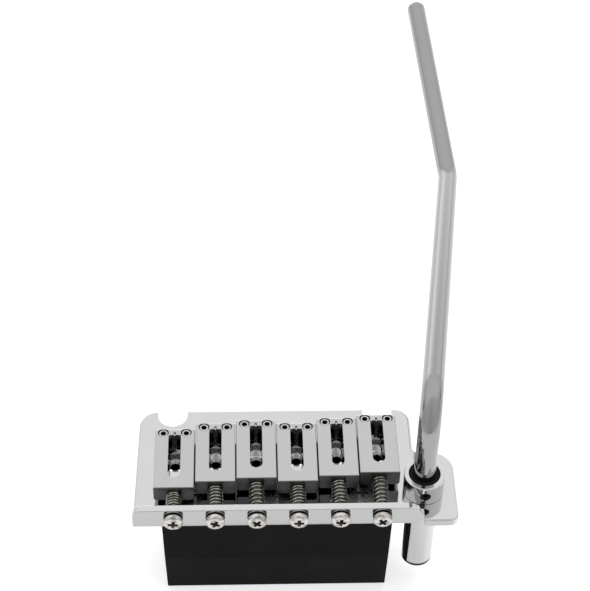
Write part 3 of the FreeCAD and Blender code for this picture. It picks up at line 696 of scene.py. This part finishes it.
# Where the flat crest of a ridge starts and ends, as shares of the pitch.
CREST_START, CREST_END = 0.42, 0.58
LEAD_IN_TURNS = 2
SPARE_TURNS = 4
THREAD_WELD = 0.005
CUT_TOLERANCE = 0.0001
POINT_LENGTH = 0.4
POINT_DRAW = 0.22
HEAD_ANGLES = (5, 25, 40, 0, 8, 50)
SCREW_SHARP_DEGREES = 32


def trim(bm, height, outwards):
    """Cut everything beyond a level plane away and close the cut."""
    everything = list(bm.verts) + list(bm.edges) + list(bm.faces)
    made = bmesh.ops.bisect_plane(
        bm, geom=everything, dist=CUT_TOLERANCE, plane_co=(0, 0, height), plane_no=(0, 0, outwards),
        clear_outer=True,
    )
    rim = [item for item in made["geom_cut"] if isinstance(item, bmesh.types.BMEdge)]
    bmesh.ops.edgeloop_fill(bm, edges=rim)


def rolled_thread(length):
    bm = bmesh.new()
    ridge = ((ROOT_RADIUS, 0.0), (CREST_RADIUS, CREST_START), (CREST_RADIUS, CREST_END), (ROOT_RADIUS, 1.0))
    corners = [bm.verts.new((radius, 0, (share - LEAD_IN_TURNS) * THREAD_PITCH)) for radius, share in ridge]
    for first, second in zip(corners, corners[1:]):
        bm.edges.new((first, second))
    turns = math.ceil(length / THREAD_PITCH) + SPARE_TURNS
    bmesh.ops.spin(
        bm, geom=list(bm.verts) + list(bm.edges), cent=(0, 0, 0), axis=(0, 0, 1),
        dvec=(0, 0, THREAD_PITCH / THREAD_STEPS), angle=2 * math.pi * turns, steps=turns * THREAD_STEPS,
        use_merge=False, use_duplicate=False,
    )
    bmesh.ops.remove_doubles(bm, verts=bm.verts, dist=THREAD_WELD)
    trim(bm, -THREAD_PITCH / 2, -1)
    trim(bm, length, 1)
    for vert in bm.verts:
        drawn_in = max(0.0, vert.co.z - (length - POINT_LENGTH)) / POINT_LENGTH
        vert.co.xy *= 1 - POINT_DRAW * drawn_in
    return bm


for number in STRINGS:
    low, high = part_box(f"intonation_screw_{number}")
    seat = Vector(((low.x + high.x) / 2, low.y + SOLID_HEAD_HEIGHT * MM, (low.z + high.z) / 2))
    shank = (high.y - seat.y) / MM
    screw_mesh = rolled_thread(shank)
    screw_mesh.from_mesh(head_mesh)
    lay_along(screw_mesh, seat, HEAD_ANGLES[number - 1])
    screw_finishes = [nickel, recess_shade, groove_shade]
    screw = finished_piece(
        screw_mesh, f"threaded_screw_{number}", screw_finishes, SCREW_SHARP_DEGREES,
    )
    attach(screw, f"screw_{number}")
    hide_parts(f"intonation_screw_{number}")
    print(screw.name, len(screw.data.polygons), "faces,", round(shank, 2), "mm under the head")

# %% [markdown]
# ## The studio
# Chrome has no look of its own: it shows the room. The photograph was made in a white tent with one dark
# strip, the open front where the lens looks in, and the bend of the arm shows that strip as a thin black
# streak. A ring of lamps would leave hard spots in the mirror, so the world itself is the tent:
# brightness by direction. One large soft lamp overhead, which no mirror shows, adds a gentle shadow on
# the pale floor that the block stands on.

# %% Light the tent
TENT_GLOW = 0.95
ROOF_GLOW = 0.25
FAR_GLOW = 0.9
SKIRTING_SHADE = 0.7
LENS_ASIDE = 0.07


def tent():
    world = bpy.data.worlds.new("white_tent")
    bpy.context.scene.world = world
    world.use_nodes = True
    world.node_tree.nodes.clear()
    start = Signal(world.node_tree)
    way = start.node("ShaderNodeTexCoord", output="Generated")
    across = way.part("X") + LENS_ASIDE
    aside = across.math("ABSOLUTE", across)
    towards_tail = 0.0 - way.part("Y")
    height = way.part("Z")
    # The open front is darkest around the lens and greyer below it.
    upper = towards_tail.between(0.2, 0.34) * height.between(0.66, 0.78) * 0.94
    lower = towards_tail.between(0.6, 0.76) * height.between(-0.02, 0.08) * 0.72
    opening = (1 - aside.between(0.14, 0.3)) * upper.math("MAXIMUM", upper, lower)
    # Low down, the near half has a grey skirting and the far side a bright band.
    near_half = towards_tail.between(-0.45, -0.2)
    skirting = height.between(-0.06, 0.02) * (1 - height.between(0.08, 0.42)) * near_half
    far_side = (0.0 - towards_tail).between(0.7, 0.9)
    far_band = far_side * height.between(-0.05, 0.05) * (1 - height.between(0.25, 0.5))
    lit = TENT_GLOW + height.between(0.1, 0.75) * ROOF_GLOW + far_band * FAR_GLOW
    glow = lit * (1 - opening) * (1 - skirting * SKIRTING_SHADE)
    sky = start.node("ShaderNodeBackground", {}, {"Color": (1.0, 1.0, 1.0, 1.0), "Strength": glow})
    start.node("ShaderNodeOutputWorld", {}, {"Surface": sky})


tent()
print("tent lit")

# %% Lay the floor and hang the lamp
FLOOR_HALF = 1.6
FLOOR_GAP = 0.2 * MM
FLOOR_GLOW = 0.6
LAMP_PLACE = Vector((0.15, 0.25, 0.9))
LAMP_WIDTH, LAMP_DEPTH = 0.9, 0.6
LAMP_WATTS = 4.0
floor_height = cad_box[0].z - FLOOR_GAP


def pale_floor():
    material, start, place = new_finish("pale_floor")
    paper = specks(place, 900.0, 3.0)
    close_finish(start, {
        "Base Color": paper.between(0.3, 0.7).blend(grey(0.53), grey(0.55)),
        "Roughness": 0.9,
        "Specular IOR Level": 0.1,
        "Emission Color": (1.0, 1.0, 1.0, 1.0),
        "Emission Strength": FLOOR_GLOW,
    })
    bm = bmesh.new()
    bmesh.ops.create_grid(bm, x_segments=1, y_segments=1, size=FLOOR_HALF)
    bmesh.ops.translate(bm, verts=bm.verts, vec=(0, 0, floor_height))
    mesh = bpy.data.meshes.new("pale_floor")
    bm.to_mesh(mesh)
    bm.free()
    mesh.materials.append(material)
    floor = bpy.data.objects.new("pale_floor", mesh)
    bpy.context.scene.collection.objects.link(floor)


def overhead_lamp():
    lamp = bpy.data.lights.new("overhead_lamp", "AREA")
    lamp.shape = "RECTANGLE"
    lamp.size = LAMP_WIDTH
    lamp.size_y = LAMP_DEPTH
    lamp.energy = LAMP_WATTS
    hung = bpy.data.objects.new("overhead_lamp", lamp)
    hung.location = LAMP_PLACE
    hung.rotation_euler = (-LAMP_PLACE).to_track_quat("-Z", "Y").to_euler()
    hung.visible_glossy = False
    bpy.context.scene.collection.objects.link(hung)


pale_floor()
overhead_lamp()
bpy.context.scene.view_settings.view_transform = "Standard"
print(f"floor at {floor_height / MM:.1f} mm")

# %% [markdown]
# ## Sizes
# Dressing a part must not change its size, so the box of the solids is written out.

# %% Write the box of the solids
print("solids", [tuple(round(v / MM, 2) for v in c) for c in cad_box])
